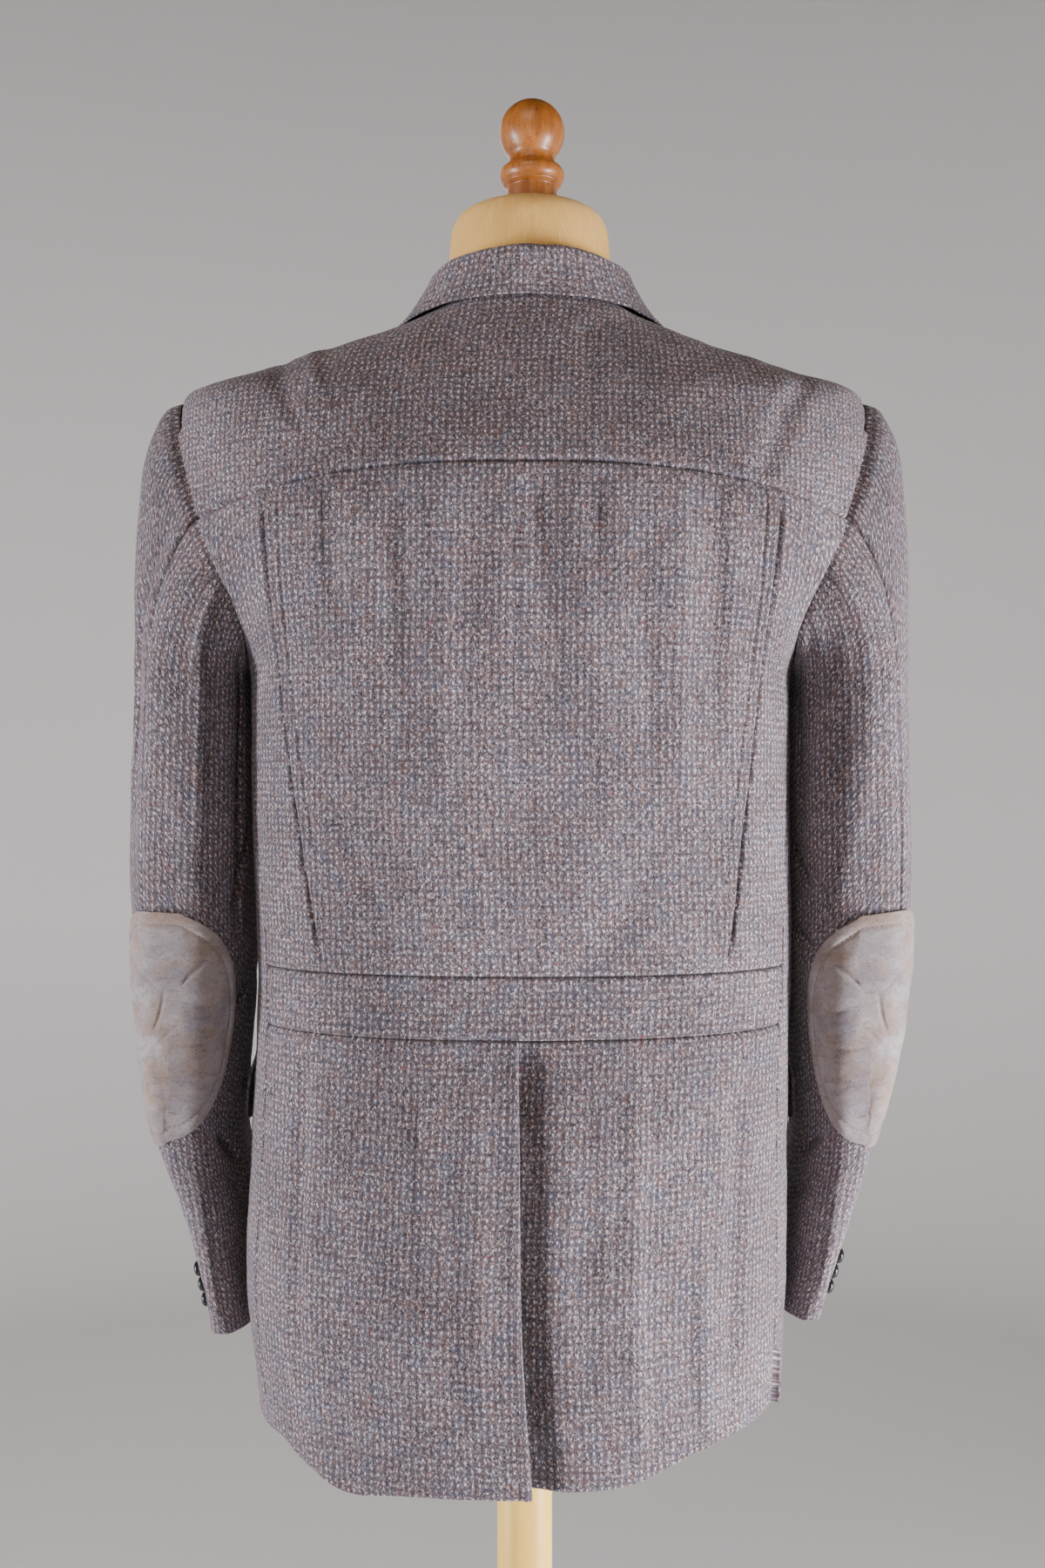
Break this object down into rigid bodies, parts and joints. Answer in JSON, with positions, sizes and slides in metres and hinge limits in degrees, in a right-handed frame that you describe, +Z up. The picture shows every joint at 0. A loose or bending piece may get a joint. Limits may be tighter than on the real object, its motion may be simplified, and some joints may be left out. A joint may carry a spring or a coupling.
{
  "type": "tweed hacking jacket on a limbless dress form",
  "caption": "Tweed hacking jacket with action pleats, half belt, vent and suede elbow patches, worn by a limbless linen dress form on a round wooden stand.",
  "frame": {"origin": "centre of the stand's underside, on the pole's axis", "axes": "+Z up along the pole, -Y is the jacket's front, +X is the wearer's left"},
  "size_m": [0.558, 0.37, 1.644],
  "materials": {
    "tweed": "woollen tweed, small check of light flecks over slate blue, plum and brown",
    "elbow_suede": "creased grey-brown suede",
    "button_black": "polished black",
    "form_linen": "natural linen",
    "finial_wood": "varnished, orange brown",
    "pole_wood": "clear satin varnish"
  },
  "bodies": {
    "root": {"back_left": "tweed", "back_right": "tweed", "back_yoke": "tweed", "side_back_left": "tweed", "side_back_right": "tweed", "half_belt": "tweed", "skirt_left": "tweed", "skirt_right": "tweed", "front_left": "tweed", "front_right": "tweed", "lapel_left": "tweed", "lapel_right": "tweed", "collar": "tweed", "top_sleeve_left": "tweed", "top_sleeve_right": "tweed", "under_sleeve_left": "tweed", "under_sleeve_right": "tweed", "pocket_left": "tweed", "pocket_right": "tweed", "pocket_flap_left": "tweed", "pocket_flap_right": "tweed", "elbow_patch_left": "elbow_suede", "elbow_patch_right": "elbow_suede", "front_button_1": "button_black", "front_button_2": "button_black", "front_button_3": "button_black", "cuff_button_left_1": "button_black", "cuff_button_left_2": "button_black", "cuff_button_left_3": "button_black", "cuff_button_right_1": "button_black", "cuff_button_right_2": "button_black", "cuff_button_right_3": "button_black", "form_torso": "form_linen", "form_finial": "finial_wood", "form_pole": "pole_wood", "form_base": "pole_wood"}
  },
  "joints": []
}
